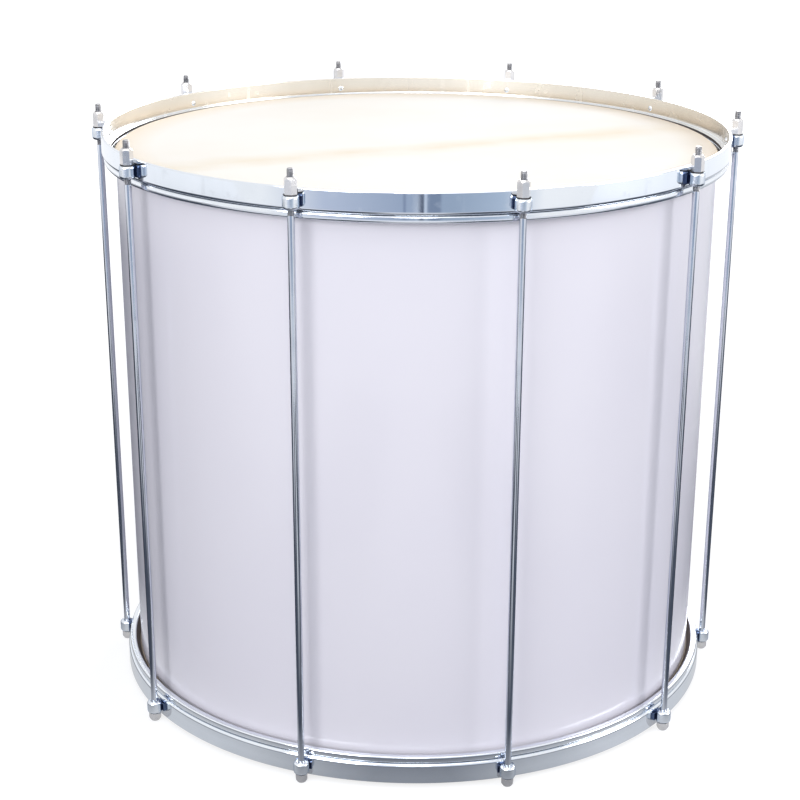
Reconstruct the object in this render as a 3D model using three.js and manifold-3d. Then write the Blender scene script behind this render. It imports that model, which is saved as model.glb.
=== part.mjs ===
// A surdo: the deep bass drum of a samba band, 22 inches across and 50 cm deep.
//
// A rolled metal shell carries a skin at each end. Each skin is gripped by a
// flesh hoop, and a counterhoop of bent steel presses that hoop towards the
// middle of the shell. Ten long rods run from the lower counterhoop to the upper
// one through ears on both, and a sleeve nut on top of each rod draws the two
// counterhoops together, which tunes both heads at once.
//
// Lengths are in millimetres. The drum stands on its ten lower nuts at height
// zero, its axis is +Z, and its front, as a player sees it, looks along -Y.

import * as THREE from 'three';
import { mergeVertices } from 'three/addons/utils/BufferGeometryUtils.js';
import Module from 'manifold-3d';

const wasm = await Module();
wasm.setup();

// Sizes shared by the whole drum.
const seatClearance = 0.3;      // between two pieces that touch on the real drum
const rodCount = 10;
const firstRodDegrees = -19.5;  // from the front, towards the viewer's left
const cutOverrun = 1;

// The shell, with its two edges turned in over a round bend.
const shellOuterRadius = 279.4;
const shellDepth = 500;
const shellWall = 1;
const shellLipWidth = 7;
const edgeBendRadius = 3;

// The skins, laid over the edges of the shell.
const skinThickness = 0.8;

// The flesh hoops, round steel rings that grip the edges of the skins.
const ringShellGap = 4.6;       // flesh hoop clear of the outside of the shell
const ringThickness = 6.4;

// The counterhoops, an upright wall with a flange that bears on the flesh hoop.
const hoopOverhang = 1.6;       // outside of the counterhoop beyond its flesh hoop
const hoopWall = 3;
const hoopRise = 16.5;          // rim of the hoop beyond the edge of the shell
const hoopBendRadius = 3;
const hoopRimBevel = 0.8;
const flangeDrop = 2.5;         // bearing face of the flange back from that edge
const flangeThickness = 3;
const flangeSkinClearance = 0.5;

// The ears, one for each rod on each counterhoop.
const rodStandoff = 6.5;        // rod axis beyond the outside of the counterhoop
const earInset = 4.4;           // outer end of an ear below the rim of its hoop
const earHeight = 12;
const earRadius = 7;
const earTopBevel = 2.2;
const earRounding = 2.8;
const earWebWidth = 9;
const earFootWidth = 15;
const earFootThickness = 1.2;
const earBoreClearance = 0.3;

// The rods, M6 all the way.
const rodRadius = 3;
const rodTipRise = 16.8;        // tip of a rod above the rim of the upper hoop
const rodTipBevel = 0.8;

// The sleeve nuts on top and the lower nuts, which are the drum's feet.
const nutAcrossFlats = 10;
const nutBlankMargin = 0.4;     // a nut's turned blank beyond its six corners
const nutBoreClearance = 0.3;
const sleeveNutHeight = 14;
const sleeveNutCrownHeight = 2.6;
const sleeveNutCrownRadius = 3.9;
const footStandDown = 4;        // a lower nut below the rim of the lower hoop
const footTaperHeight = 3.6;
const footFaceRadius = 3.8;
const footFaceThickness = 2.2;

// How finely the round pieces are made.
const facetsPerBay = 7;
const ringFacets = rodCount * facetsPerBay;
const ringSectionFacets = 8;
const boreFacets = 8;
const earFacets = 10;
const nutFacets = 12;
const hexSides = 6;

// Radii and heights that follow from the sizes above.
const ringInnerRadius = shellOuterRadius + ringShellGap;
const hoopOuterRadius = ringInnerRadius + ringThickness + hoopOverhang;
const lowerRimZ = footStandDown;
const lowerEdgeZ = lowerRimZ + hoopRise;
const upperEdgeZ = lowerEdgeZ + shellDepth;
const upperRimZ = upperEdgeZ + hoopRise;
const rodCircleRadius = hoopOuterRadius + rodStandoff;
const flangeFace = -flangeDrop;
const ringRadius = ringThickness / 2;
const ringCentre = flangeFace - seatClearance - ringRadius;
const nutCornerRadius = nutAcrossFlats / 2 / Math.cos(Math.PI / hexSides);
const nutBlankRadius = (nutCornerRadius + nutBlankMargin) / Math.cos(Math.PI / nutFacets);

const chrome = { metalness: 1, roughness: 0.08 };
const materials = {
  shell: new THREE.MeshStandardMaterial({ color: 0xe2e0ea, metalness: 0, roughness: 0.22 }),
  skin: new THREE.MeshStandardMaterial({ color: 0xfcf6ea, metalness: 0, roughness: 0.6 }),
  ring: new THREE.MeshStandardMaterial({ color: 0xe6ecf4, ...chrome }),
  hoop: new THREE.MeshStandardMaterial({ color: 0xc9d6e8, ...chrome }),
  ear: new THREE.MeshStandardMaterial({ color: 0xd2dbe8, ...chrome }),
  rod: new THREE.MeshStandardMaterial({ color: 0xb9c0ca, metalness: 1, roughness: 0.16 }),
  nut: new THREE.MeshStandardMaterial({ color: 0xd9d7da, metalness: 1, roughness: 0.2 }),
};

// Turns a closed outline of [radius, height] points about the +Z axis. The points
// go up the outside and down the inside. A flat, not a corner, faces along +X.
function revolve(outline, facets) {
  const points = outline.map(([radius, height]) => new THREE.Vector2(radius, height));
  if (outline[0][0] > 0) {
    points.push(points[0].clone());
  }
  const quarterTurn = Math.PI / 2;
  const geometry = new THREE.LatheGeometry(points, facets, quarterTurn + Math.PI / facets);
  geometry.rotateX(quarterTurn);
  return geometry;
}

// Extrudes a flat outline of [x, y] points along +Z from one height to another.
function extrude(outline, fromZ, toZ) {
  const shape = new THREE.Shape(outline.map(([x, y]) => new THREE.Vector2(x, y)));
  const geometry = new THREE.ExtrudeGeometry(shape, { depth: toZ - fromZ, bevelEnabled: false });
  geometry.translate(0, 0, fromZ);
  return geometry;
}

// Reads a closed geometry as a solid that can be joined and cut.
function toSolid(geometry) {
  const bare = geometry.clone();
  bare.deleteAttribute('normal');
  bare.deleteAttribute('uv');
  const merged = mergeVertices(bare);
  const kept = [];
  for (let i = 0; i < merged.index.count; i += 3) {
    const corners = [merged.index.getX(i), merged.index.getX(i + 1), merged.index.getX(i + 2)];
    if (new Set(corners).size === corners.length) {
      kept.push(...corners);
    }
  }
  return new wasm.Manifold(new wasm.Mesh({
    numProp: 3,
    vertProperties: new Float32Array(merged.attributes.position.array),
    triVerts: new Uint32Array(kept),
  }));
}

// Gives a joined or cut solid back as a geometry.
function toGeometry(solid) {
  const mesh = solid.getMesh();
  const geometry = new THREE.BufferGeometry();
  geometry.setAttribute('position', new THREE.BufferAttribute(mesh.vertProperties, 3));
  geometry.setIndex(new THREE.BufferAttribute(mesh.triVerts, 1));
  const flat = geometry.toNonIndexed();
  flat.computeVertexNormals();
  return flat;
}

// A straight hole along Z, as the solid that cuts it.
function bore(radius, fromZ, toZ) {
  return toSolid(revolve([[0, fromZ], [radius, fromZ], [radius, toZ], [0, toZ]], boreFacets));
}

// A point on a quarter bend: its centre, its radius and how far round it is, from
// pointing outwards (0) to pointing along +Z (1).
function onBend(centreRadius, centreHeight, radius, turnShare) {
  const angle = turnShare * Math.PI / 2;
  return [centreRadius + radius * Math.cos(angle), centreHeight + radius * Math.sin(angle)];
}

// The shell, from its lower edge at zero up to its depth. Each edge is a quarter
// bend that turns the wall in to a flat lip.
function shellGeometry() {
  const bendCentre = shellOuterRadius - edgeBendRadius;
  const bendMiddleShare = 0.5;
  const lipRadius = shellOuterRadius - shellLipWidth;
  const innerRadius = shellOuterRadius - shellWall;
  const upperBend = onBend(bendCentre, shellDepth - edgeBendRadius, edgeBendRadius, bendMiddleShare);
  const lowerBend = onBend(bendCentre, edgeBendRadius, edgeBendRadius, -bendMiddleShare);
  return revolve([
    [lipRadius, 0],
    [bendCentre, 0],
    lowerBend,
    [shellOuterRadius, edgeBendRadius],
    [shellOuterRadius, shellDepth - edgeBendRadius],
    upperBend,
    [bendCentre, shellDepth],
    [lipRadius, shellDepth],
    [lipRadius, shellDepth - shellWall],
    [innerRadius, shellDepth - shellWall],
    [innerRadius, shellWall],
    [lipRadius, shellWall],
  ], ringFacets);
}

// A skin, with the edge of the shell at zero and outwards as +Z: a flat playing
// face, a bend over the edge and a skirt that slopes out to the flesh hoop.
function skinGeometry() {
  const bendCentre = shellOuterRadius - edgeBendRadius;
  const bendMiddleShare = 0.5;
  const undersideRadius = edgeBendRadius + seatClearance;
  const faceRadius = undersideRadius + skinThickness;
  const skirtRadius = ringInnerRadius - seatClearance;
  const overEdge = (radius, turnShare) => onBend(bendCentre, -edgeBendRadius, radius, turnShare);
  return revolve([
    [0, seatClearance],
    overEdge(undersideRadius, 1),
    overEdge(undersideRadius, bendMiddleShare),
    overEdge(undersideRadius, 0),
    [skirtRadius - skinThickness, ringCentre],
    [skirtRadius, ringCentre],
    overEdge(faceRadius, 0),
    overEdge(faceRadius, bendMiddleShare),
    overEdge(faceRadius, 1),
    [0, seatClearance + skinThickness],
  ], ringFacets);
}

// A flesh hoop, a round ring, with the edge of the shell at zero.
function ringGeometry() {
  const centreRadius = ringInnerRadius + ringRadius;
  const outline = [];
  for (let i = 0; i < ringSectionFacets; i += 1) {
    const angle = i * 2 * Math.PI / ringSectionFacets;
    outline.push([
      centreRadius + ringRadius * Math.cos(angle),
      ringCentre + ringRadius * Math.sin(angle),
    ]);
  }
  return revolve(outline, ringFacets);
}

// A counterhoop, with the edge of the shell at zero and its rim outwards.
function counterhoopGeometry() {
  const wallInnerRadius = hoopOuterRadius - hoopWall;
  const flangeInnerRadius = ringInnerRadius - seatClearance + flangeSkinClearance;
  const bendCentre = hoopOuterRadius - hoopBendRadius;
  const bendMiddleShare = 0.5;
  const outerBend = onBend(bendCentre, flangeFace + hoopBendRadius, hoopBendRadius, -bendMiddleShare);
  return revolve([
    [flangeInnerRadius, flangeFace],
    [bendCentre, flangeFace],
    outerBend,
    [hoopOuterRadius, flangeFace + hoopBendRadius],
    [hoopOuterRadius, hoopRise - hoopRimBevel],
    [hoopOuterRadius - hoopRimBevel, hoopRise],
    [wallInnerRadius, hoopRise],
    [wallInnerRadius, flangeFace + flangeThickness],
    [flangeInnerRadius, flangeFace + flangeThickness],
  ], ringFacets);
}

// An ear, with the rod's axis at zero, the hoop towards -X and its outer end, the
// one that a nut bears on, as the top. A round boss with a bevelled top and a
// rounded lower end is carried on a web, and a foot lies along the face of the hoop.
function earGeometry() {
  const flatFaceShare = Math.cos(Math.PI / ringFacets);
  const faceX = hoopOuterRadius * flatFaceShare + seatClearance - rodCircleRadius;
  const footX = faceX + earFootThickness;
  const halfFoot = earFootWidth / 2;
  const halfWeb = earWebWidth / 2;
  const roundingMiddleShare = 0.5;
  const roundingStart = earHeight - earRounding;
  const boss = toSolid(revolve([
    [0, -earHeight],
    [earRadius - earRounding, -earHeight],
    onBend(earRadius - earRounding, -roundingStart, earRounding, -roundingMiddleShare),
    [earRadius, -roundingStart],
    [earRadius, -earTopBevel],
    [earRadius - earTopBevel, 0],
    [0, 0],
  ], earFacets));
  const web = toSolid(extrude([
    [faceX, -halfFoot],
    [footX, -halfFoot],
    [footX, -halfWeb],
    [0, -halfWeb],
    [0, halfWeb],
    [footX, halfWeb],
    [footX, halfFoot],
    [faceX, halfFoot],
  ], -roundingStart, -earTopBevel));
  const behindFace = extrude([
    [faceX - earRadius, -earFootWidth],
    [faceX, -earFootWidth],
    [faceX, earFootWidth],
    [faceX - earRadius, earFootWidth],
  ], -earHeight - cutOverrun, cutOverrun);
  const hole = bore(rodRadius + earBoreClearance, -earHeight - cutOverrun, cutOverrun);
  return toGeometry(boss.add(web).subtract(toSolid(behindFace)).subtract(hole));
}

// A six-sided bar for the nuts, with two of its flats facing the hoop and away.
function hexBar(height) {
  return toSolid(revolve([
    [0, 0],
    [nutCornerRadius, 0],
    [nutCornerRadius, height],
    [0, height],
  ], hexSides));
}

// A sleeve nut, standing on its ear at zero: six flats and a turned crown that
// narrows to the rod. A corner of the turned blank lies on the middle of each flat.
function sleeveNutGeometry() {
  const turned = toSolid(revolve([
    [0, -cutOverrun],
    [nutBlankRadius, -cutOverrun],
    [nutBlankRadius, sleeveNutHeight - sleeveNutCrownHeight],
    [sleeveNutCrownRadius, sleeveNutHeight],
    [0, sleeveNutHeight],
  ], nutFacets).rotateZ(Math.PI / nutFacets));
  const hole = bore(rodRadius + nutBoreClearance, -cutOverrun, sleeveNutHeight + cutOverrun);
  return toGeometry(hexBar(sleeveNutHeight).intersect(turned).subtract(hole));
}

// A lower nut, from the floor at zero up to its ear: six flats under the ear, a
// closed end tapered to the round flat that the drum stands on, and a blind hole.
function footNutGeometry() {
  const height = footStandDown + earInset - seatClearance;
  const turned = toSolid(revolve([
    [0, 0],
    [footFaceRadius, 0],
    [nutBlankRadius, footTaperHeight],
    [nutBlankRadius, height + cutOverrun],
    [0, height + cutOverrun],
  ], nutFacets).rotateZ(Math.PI / nutFacets));
  const hole = bore(rodRadius + nutBoreClearance, footFaceThickness, height + cutOverrun);
  return toGeometry(hexBar(height).intersect(turned).subtract(hole));
}

// A rod, from the bottom of its lower nut to its tip above the upper hoop.
function rodGeometry() {
  const fromZ = footFaceThickness + seatClearance;
  const toZ = upperRimZ + rodTipRise;
  return revolve([
    [0, fromZ],
    [rodRadius, fromZ],
    [rodRadius, toZ - rodTipBevel],
    [rodRadius - rodTipBevel, toZ],
    [0, toZ],
  ], boreFacets);
}

function piece(name, geometry, material) {
  const mesh = new THREE.Mesh(geometry, material);
  mesh.name = name;
  return mesh;
}

// The pieces round one end of the shell. A skin, its flesh hoop and its
// counterhoop are drawn with +Z outwards, so the lower end is turned over.
function headEnd(side, edgeZ, turnedOver) {
  const end = new THREE.Group();
  end.position.z = edgeZ;
  end.rotation.x = turnedOver ? Math.PI : 0;
  end.add(piece(`${side}_head`, skinGeometry(), materials.skin));
  end.add(piece(`${side}_flesh_hoop`, ringGeometry(), materials.ring));
  end.add(piece(`${side}_counterhoop`, counterhoopGeometry(), materials.hoop));
  return end;
}

const surdo = new THREE.Group();
surdo.rotation.z = THREE.MathUtils.degToRad(firstRodDegrees) - Math.PI / 2;

const shell = piece('shell', shellGeometry(), materials.shell);
shell.position.z = lowerEdgeZ;
surdo.add(shell);
surdo.add(headEnd('batter', upperEdgeZ, false));
surdo.add(headEnd('resonant', lowerEdgeZ, true));

// The same rod, nuts and ears stand at each station round the drum.
const ear = earGeometry();
const sleeveNut = sleeveNutGeometry();
const footNut = footNutGeometry();
const rod = rodGeometry();
for (let i = 0; i < rodCount; i += 1) {
  const number = String(i + 1).padStart(2, '0');
  const station = new THREE.Group();
  station.rotation.z = i * 2 * Math.PI / rodCount;

  const axis = new THREE.Group();
  axis.position.x = rodCircleRadius;
  axis.add(piece(`rod_${number}`, rod, materials.rod));

  const batterEar = piece(`batter_ear_${number}`, ear, materials.ear);
  batterEar.position.z = upperRimZ - earInset;
  axis.add(batterEar);

  const resonantEar = piece(`resonant_ear_${number}`, ear, materials.ear);
  resonantEar.position.z = lowerRimZ + earInset;
  resonantEar.rotation.x = Math.PI;
  axis.add(resonantEar);

  const nut = piece(`nut_${number}`, sleeveNut, materials.nut);
  nut.position.z = batterEar.position.z + seatClearance;
  axis.add(nut);

  axis.add(piece(`foot_nut_${number}`, footNut, materials.nut));
  station.add(axis);
  surdo.add(station);
}

export default surdo;
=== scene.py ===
"""The looks of a surdo, the deep bass drum of a samba band.

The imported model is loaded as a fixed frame. Each sub-assembly of the drum is a
class that models its own pieces over that frame, in metres, and dresses them.
The drum stands on its lower nuts at height zero, with its axis along +Z and its
front towards -Y.
"""

import logging
import math
from contextlib import contextmanager
from dataclasses import dataclass, field
from enum import Enum
from typing import Callable, Iterator, Sequence

import bmesh
import bpy
from mathutils import Matrix, Vector


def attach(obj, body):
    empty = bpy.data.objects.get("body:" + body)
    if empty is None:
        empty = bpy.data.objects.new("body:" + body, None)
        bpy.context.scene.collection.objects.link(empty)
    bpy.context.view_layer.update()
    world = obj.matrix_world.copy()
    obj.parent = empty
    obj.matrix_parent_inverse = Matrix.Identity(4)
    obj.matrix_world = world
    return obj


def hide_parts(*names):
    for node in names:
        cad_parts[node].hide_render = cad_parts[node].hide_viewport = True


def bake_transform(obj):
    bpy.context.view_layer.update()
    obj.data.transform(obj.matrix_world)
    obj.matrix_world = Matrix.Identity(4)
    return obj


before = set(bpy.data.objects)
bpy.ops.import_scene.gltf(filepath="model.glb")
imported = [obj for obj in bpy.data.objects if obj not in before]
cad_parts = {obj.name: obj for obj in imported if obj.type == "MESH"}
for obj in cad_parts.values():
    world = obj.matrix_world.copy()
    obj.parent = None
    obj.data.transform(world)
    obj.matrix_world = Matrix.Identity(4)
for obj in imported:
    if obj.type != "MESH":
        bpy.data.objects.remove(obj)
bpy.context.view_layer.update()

LOG = logging.getLogger("surdo")
SAME = 1e-6
FULL_TURN = 2 * math.pi

Station = tuple[float, float]
Colour = tuple[float, float, float]
Place = tuple[float, float, float]
Steps = tuple[int, int, int]
Test = Callable[..., bool]
Socket = bpy.types.NodeSocket
Tree = bpy.types.NodeTree
Piece = bpy.types.Object
Material = bpy.types.Material
Materials = dict[str, Material]
Inputs = dict[object, object]


class End(Enum):
    """The two ends of the drum."""

    BATTER = "batter"
    RESONANT = "resonant"

    @property
    def hoop_body(self) -> str:
        """The body that the hoops and ears of this end move with."""
        return "batter_hoop" if self is End.BATTER else "lower_set"


class Level(Enum):
    """How fine the round pieces are, in flats round a full turn."""

    LARGE = 288
    SMALL = 48
    THREAD = 24


class Pick(Enum):
    """What is selected in edit mode, by Blender's names."""

    VERTICES = "VERT"
    EDGES = "EDGE"
    FACES = "FACE"

    def parts(self, mesh: bmesh.types.BMesh) -> Sequence:
        """All the parts of this kind in a mesh."""
        return {Pick.VERTICES: mesh.verts, Pick.EDGES: mesh.edges, Pick.FACES: mesh.faces}[self]

    def facts(self, part: object) -> tuple[Vector, ...]:
        """What a test is told of a part.

        Args:
            part: A vertex, an edge or a face.

        Returns:
            The vertex's place, the edge's two ends, or the face's middle and its normal.
        """
        if self is Pick.VERTICES:
            return (part.co,)
        if self is Pick.EDGES:
            return part.verts[0].co, part.verts[1].co
        return part.calc_center_median(), part.normal


def lifted(height: float) -> Matrix:
    """A plain lift along the drum's axis."""
    return Matrix.Translation((0, 0, height))


@dataclass(frozen=True)
class Layout:
    """Where the pieces of the drum stand, in metres."""

    lower_edge: float = 0.0205
    upper_edge: float = 0.5205
    lower_rim: float = 0.004
    upper_rim: float = 0.537
    hoop_radius: float = 0.292
    hoop_wall: float = 0.003
    rod_circle: float = 0.2985
    rod_count: int = 10
    first_rod_degrees: float = -19.5
    ear_inset: float = 0.0044
    seat_gap: float = 0.0003

    @property
    def nut_seat(self) -> float:
        """The height of the upper ears' outer ends."""
        return self.upper_rim - self.ear_inset

    def stations(self) -> Iterator[tuple[str, Matrix]]:
        """Goes round the rods.

        Yields:
            A rod's two-figure number, and the place of its axis at floor height with outwards as +X.
        """
        for index in range(self.rod_count):
            turn = math.radians(self.first_rod_degrees + 360.0 * index / self.rod_count - 90.0)
            yield f"{index + 1:02d}", Matrix.Rotation(turn, 4, "Z") @ Matrix.Translation((self.rod_circle, 0, 0))

    def facing_out(self, end: End, upper: float, lower: float) -> Matrix:
        """The place at the upper or the lower height, with the way out of the drum as +Z."""
        return lifted(upper) if end is End.BATTER else lifted(lower) @ Matrix.Rotation(math.pi, 4, "X")

    def end_place(self, end: End) -> Matrix:
        """The place of one edge of the shell."""
        return self.facing_out(end, self.upper_edge, self.lower_edge)

    def ear_place(self, end: End) -> Matrix:
        """The place of the outer ends of one hoop's ears."""
        return self.facing_out(end, self.nut_seat, self.lower_rim + self.ear_inset)


# ---------------------------------------------------------------- modelling


def focus(*objects: Piece) -> None:
    """Selects only these objects and makes the first one active.

    Args:
        *objects: The objects.
    """
    bpy.ops.object.select_all(action="DESELECT")
    for item in objects:
        item.select_set(True)
    bpy.context.view_layer.objects.active = objects[0]


@contextmanager
def editing(item: Piece, kind: Pick = Pick.EDGES) -> Iterator[Callable[[Test], int]]:
    """Opens a piece in edit mode with nothing selected.

    Args:
        item: The piece.
        kind: What is selected in it.

    Yields:
        A function that selects the parts that pass a test and says how many they are.
    """
    focus(item)
    bpy.ops.object.mode_set(mode="EDIT")
    bpy.ops.mesh.select_mode(type=kind.value)
    bpy.ops.mesh.select_all(action="DESELECT")

    def pick(test: Test) -> int:
        """Selects what passes a test.

        Args:
            test: Takes what Pick.facts tells of a part.

        Returns:
            How many parts are selected.
        """
        mesh = bmesh.from_edit_mesh(item.data)
        parts = kind.parts(mesh)
        for part in parts:
            part.select_set(test(*kind.facts(part)))
        if kind is Pick.VERTICES:
            mesh.select_flush_mode()
        bmesh.update_edit_mesh(item.data)
        return sum(part.select for part in parts)

    yield pick
    bpy.ops.object.mode_set(mode="OBJECT")


def take_all() -> None:
    """Selects the whole of the piece in edit mode."""
    bpy.ops.mesh.select_all(action="SELECT")


def primitive(add: Callable, name: str, **settings: object) -> Piece:
    """Adds a primitive with nothing else selected.

    Args:
        add: The operator that adds it.
        name: The new object's name.
        **settings: Its size and place, as its operator takes them.

    Returns:
        The new object.
    """
    bpy.ops.object.select_all(action="DESELECT")
    add(**settings)
    item = bpy.context.object
    item.name = item.data.name = name
    return item


def cylinder(name: str, sides: int, radius: float, depth: float, middle: Place) -> Piece:
    """Adds a bar with so many sides about its middle, as a tool for cutting or trimming."""
    size = {"vertices": sides, "radius": radius, "depth": depth, "location": middle}
    return primitive(bpy.ops.mesh.primitive_cylinder_add, name, **size)


def settle(item: Piece) -> None:
    """Applies a piece's place, turn and size to its mesh."""
    focus(item)
    bpy.ops.object.transform_apply(location=True, rotation=True, scale=True)


def section_line(name: str, stations: Sequence[Station]) -> Piece:
    """Draws an open section in the XZ plane, point by point.

    Args:
        name: The new object's name.
        stations: Its (radius, height) points in order.

    Returns:
        The line of edges.
    """
    item = primitive(bpy.ops.mesh.primitive_plane_add, name, size=0.001)
    with editing(item, Pick.VERTICES):
        take_all()
        bpy.ops.mesh.merge(type="CENTER")
        bpy.ops.transform.translate(value=(stations[0][0], 0, stations[0][1]))
        for (radius, height), (last_radius, last_height) in zip(stations[1:], stations):
            step = (radius - last_radius, 0, height - last_height)
            bpy.ops.mesh.extrude_vertices_move(TRANSFORM_OT_translate={"value": step})
    return item


def turned(name: str, stations: Sequence[Station], level: Level, closed: bool = True) -> Piece:
    """Draws a section point by point and spins it about the Z axis.

    Args:
        name: The new object's name.
        stations: The section's (radius, height) points in order.
        level: How many flats go round a full turn.
        closed: Whether the last point joins the first one.

    Returns:
        The turned object, with its doubles merged and its faces outwards.
    """
    item = section_line(name, stations)
    with editing(item, Pick.VERTICES) as pick:
        if closed:
            ends = [Vector((radius, 0, height)) for radius, height in (stations[0], stations[-1])]
            pick(lambda place: any((place - end).length < SAME for end in ends))
            bpy.ops.mesh.edge_face_add()
        take_all()
        bpy.ops.mesh.spin(steps=level.value, angle=FULL_TURN, center=(0, 0, 0), axis=(0, 0, 1))
        take_all()
        bpy.ops.mesh.remove_doubles(threshold=SAME)
        bpy.ops.mesh.normals_make_consistent(inside=False)
    return item


def round_ring(item: Piece, radius: float, height: float, by: float, segments: int) -> None:
    """Rounds the ring of edges at one corner of a turned piece.

    Args:
        item: The piece.
        radius: The corner's radius.
        height: The corner's height.
        by: The width of the rounding.
        segments: How many facets it gets.
    """
    slack = 2e-5

    def near(place: Vector) -> bool:
        """Whether an end lies on the ring."""
        return abs(place.xy.length - radius) < slack and abs(place.z - height) < slack

    with editing(item) as pick:
        if not pick(lambda one, other: near(one) and near(other)):
            raise ValueError(f"{item.name} has no corner at {radius:.5f}, {height:.5f}")
        bpy.ops.mesh.bevel(offset=by, segments=segments, profile=0.5, affect="EDGES")


def apply_modifier(item: Piece, kind: str, **settings: object) -> None:
    """Adds a modifier to a piece and applies it at once.

    Args:
        item: The piece.
        kind: The modifier's type.
        **settings: Its properties by name.
    """
    modifier = item.modifiers.new(kind.title(), kind)
    for key, value in settings.items():
        setattr(modifier, key, value)
    focus(item)
    bpy.ops.object.modifier_apply(modifier=modifier.name)


def smooth(item: Piece, degrees: float = 30.0) -> None:
    """Shades a piece smooth, with flat walls true between their rounded corners.

    Args:
        item: The piece.
        degrees: Edges sharper than this stay sharp.
    """
    focus(item)
    bpy.ops.object.shade_smooth_by_angle(angle=math.radians(degrees))
    apply_modifier(item, "WEIGHTED_NORMAL", mode="FACE_AREA", weight=90, keep_sharp=True)


def break_edges(item: Piece, width: float, degrees: float) -> None:
    """Breaks the sharp edges of a machined piece and shades it smooth.

    Args:
        item: The piece.
        width: How wide the broken edges are.
        degrees: Edges sharper than this are broken.
    """
    angle = math.radians(degrees)
    apply_modifier(item, "BEVEL", width=width, segments=2, limit_method="ANGLE", angle_limit=angle)
    smooth(item, 35.0)


def cut_with(item: Piece, tool: Piece, operation: str = "DIFFERENCE") -> None:
    """Joins, cuts or trims a piece with a second solid, which is then removed.

    Args:
        item: The piece.
        tool: The second solid.
        operation: UNION, DIFFERENCE or INTERSECT.
    """
    apply_modifier(item, "BOOLEAN", object=tool, operation=operation, solver="EXACT")
    remove(tool)


def remove(*objects: Piece) -> None:
    """Removes tools and patterns that are used up."""
    for item in objects:
        bpy.data.objects.remove(item)


def copied(item: Piece, name: str, place: Matrix) -> Piece:
    """Copies a piece with a mesh of its own and settles the copy in its place.

    Args:
        item: The piece.
        name: The copy's name.
        place: Where it goes.

    Returns:
        The copy.
    """
    twin = item.copy()
    twin.data = item.data.copy()
    twin.name = twin.data.name = name
    bpy.context.scene.collection.objects.link(twin)
    twin.matrix_world = place
    settle(twin)
    return twin


# ---------------------------------------------------------------- materials


def plain(steps: Steps) -> Colour:
    """Turns a colour in screen steps from 0 to 255 into scene-linear values.

    Args:
        steps: Its red, green and blue.

    Returns:
        The colour as Blender's sockets take it.
    """
    shares = [step / 255.0 for step in steps]
    return tuple(s / 12.92 if s <= 0.04045 else ((s + 0.055) / 1.055) ** 2.4 for s in shares)


@dataclass
class NodeSheet:
    """A short way to add and join the nodes of one tree."""

    tree: Tree

    def feed(self, socket: Socket, given: object) -> None:
        """Gives an input its value.

        Args:
            socket: The input.
            given: Another node's output, a number or a colour.
        """
        if isinstance(given, Socket):
            self.tree.links.new(given, socket)
        elif socket.type == "RGBA":
            socket.default_value = (*given, 1.0)
        else:
            socket.default_value = given

    def add(self, kind: str, inputs: Inputs | None = None, **settings: object) -> bpy.types.Node:
        """Adds a node.

        Args:
            kind: The node's type.
            inputs: What its inputs are fed, by name or number.
            **settings: Its properties by name.

        Returns:
            The new node.
        """
        node = self.tree.nodes.new(kind)
        for key, value in settings.items():
            setattr(node, key, value)
        for key, given in (inputs or {}).items():
            self.feed(node.inputs[key], given)
        return node

    def noise(self, place: Socket, scale: object, detail: float, roughness: float = 0.5) -> Socket:
        """Adds noise of so many features a metre and octaves, and returns its value."""
        inputs = {"Vector": place, "Scale": scale, "Detail": detail, "Roughness": roughness}
        return self.add("ShaderNodeTexNoise", inputs).outputs["Fac"]

    def spread(self, value: Socket, low: float, high: float, to_low: float = 0.0, to_high: float = 1.0) -> Socket:
        """Maps a value from one range to another, clamps it, and returns the result."""
        inputs = {"Value": value, "From Min": low, "From Max": high, "To Min": to_low, "To Max": to_high}
        return self.add("ShaderNodeMapRange", inputs).outputs["Result"]

    def work(self, operation: str, one: object, other: object = 0.0) -> Socket:
        """Adds a math node that works on sockets or numbers, and returns its value."""
        return self.add("ShaderNodeMath", {0: one, 1: other}, operation=operation).outputs["Value"]

    def blend(self, mask: Socket, start: object, end: object) -> Socket:
        """Mixes two colours or sockets by a mask, and returns the mixed colour."""
        return self.add("ShaderNodeMix", {"Factor": mask, 6: start, 7: end}, data_type="RGBA").outputs[2]

    def turned_by(self, place: Socket, turn: Place, scale: Place = (1.0, 1.0, 1.0)) -> Socket:
        """Turns coordinates about each axis, stretches them, and returns them."""
        inputs = {"Vector": place, "Rotation": turn, "Scale": scale}
        return self.add("ShaderNodeMapping", inputs).outputs["Vector"]

    def axes(self, place: Socket) -> Sequence[Socket]:
        """The X, Y and Z of a place."""
        return self.add("ShaderNodeSeparateXYZ", {"Vector": place}).outputs

    def reach(self, place: Socket) -> Socket:
        """Measures how far a place lies from the drum's axis.

        Args:
            place: The place.

        Returns:
            The distance.
        """
        axes = self.axes(place)
        squares = [self.work("POWER", axes[axis], 2.0) for axis in ("X", "Y")]
        return self.work("SQRT", self.work("ADD", *squares))

    def rays(self) -> tuple[Socket, Socket]:
        """Two masks, for rays that come straight from the camera and for rays off bright metal."""
        ways = self.add("ShaderNodeLightPath").outputs
        return self.work("MAXIMUM", ways["Is Camera Ray"], ways["Is Transmission Ray"]), ways["Is Glossy Ray"]

    def bump(self, height: Socket, distance: float, strength: float) -> Socket:
        """Turns a height, so many metres deep where it is one, into a normal."""
        inputs = {"Height": height, "Distance": distance, "Strength": strength}
        return self.add("ShaderNodeBump", inputs).outputs["Normal"]


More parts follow.
